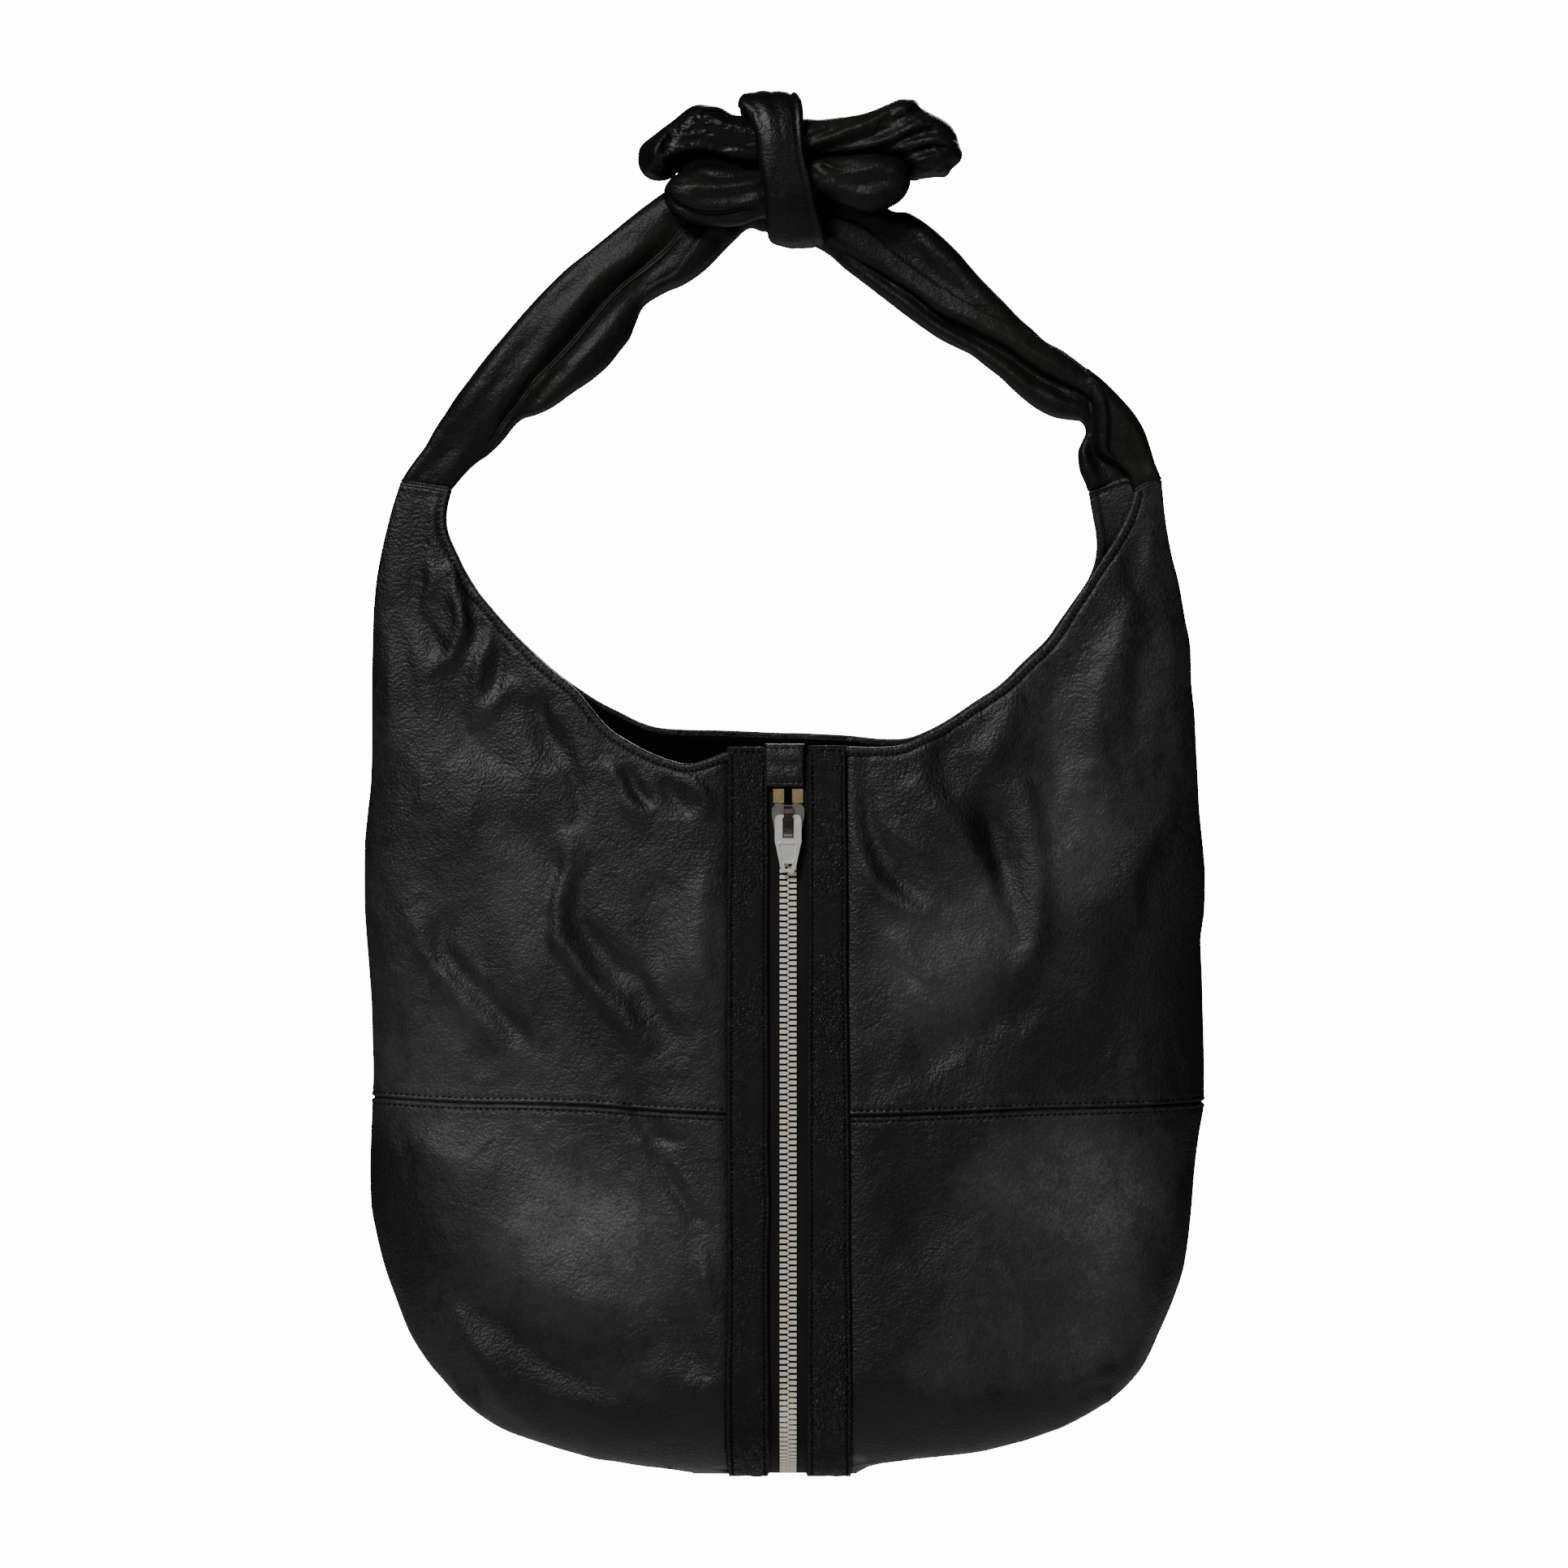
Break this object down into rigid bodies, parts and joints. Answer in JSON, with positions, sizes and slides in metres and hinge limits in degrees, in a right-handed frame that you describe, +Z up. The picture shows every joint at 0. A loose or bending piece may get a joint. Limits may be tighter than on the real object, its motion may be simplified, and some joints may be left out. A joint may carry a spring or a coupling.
{
  "type": "hobo bag",
  "caption": "Slouchy leather hobo bag with a scooped open mouth, a knotted two-tie shoulder strap and an exposed metal zip down the middle of the front.",
  "frame": {"origin": "under the knot, at the inside top of the strap loop, where the bag bears on a hook or a shoulder", "axes": "+Z up, +X across the front towards the right as seen from the front, +Y from the front to the back; the zip faces -Y"},
  "size_m": [0.3924, 0.0924, 0.6502],
  "materials": {
    "body_leather": "soft, lightly pebbled, satin",
    "binding_leather": "folded edge, satin",
    "facing_leather": "cracked, waxed, with fine sparkle",
    "lining_cloth": "plain woven, matt",
    "zip_tape": "woven herringbone tape",
    "zip_metal": "worn nickel",
    "stop_metal": "dull brass",
    "spring_steel": "plain"
  },
  "bodies": {
    "strap": {"strap_tie_left": "body_leather", "strap_tie_right": "body_leather", "knot_wrap": "body_leather", "knot_bow_upper_left": "body_leather", "knot_bow_lower_left": "body_leather", "knot_bow_upper_right": "body_leather", "knot_bow_lower_right": "body_leather"},
    "bag": {"front_panel_upper_left": "body_leather", "front_panel_upper_right": "body_leather", "front_panel_lower_left": "body_leather", "front_panel_lower_right": "body_leather", "back_panel_upper": "body_leather", "back_panel_lower": "body_leather", "mouth_binding_front_left": "binding_leather", "mouth_binding_front_right": "binding_leather", "mouth_binding_back": "binding_leather", "lining_front_left": "lining_cloth", "lining_front_right": "lining_cloth", "lining_back": "lining_cloth", "shoulder_seam_left": "body_leather", "shoulder_seam_right": "body_leather", "zip_facing_left": "facing_leather", "zip_facing_right": "facing_leather", "zip_top_tab": "body_leather", "zip_tape_left": "zip_tape", "zip_tape_right": "zip_tape", "zip_teeth_left": "zip_metal", "zip_teeth_right": "zip_metal", "zip_top_stops": "stop_metal", "zip_bottom_stop": "zip_metal"},
    "slider": {"zip_slider_body": "zip_metal", "zip_slider_cover": "zip_metal", "zip_lock_spring": "spring_steel"},
    "pull": {"zip_pull_tab": "zip_metal"}
  },
  "joints": [
    {"name": "bag_swing", "type": "hinge", "parent": "strap", "child": "bag", "pos_m": [0, 0, -0.10797], "axis": [1, 0, 0], "range_deg": [-110, 110]},
    {"name": "zip_slide", "type": "slide", "parent": "bag", "child": "slider", "axis": [0, -0.0893, -0.996], "range_m": [0, 0.235], "deforming": ["zip_teeth_left", "zip_teeth_right"]},
    {"name": "pull_swing", "type": "hinge", "parent": "slider", "child": "pull", "pos_m": [0, -0.02504, -0.26644], "axis": [-1, 0, 0], "range_deg": [0, 170]}
  ]
}
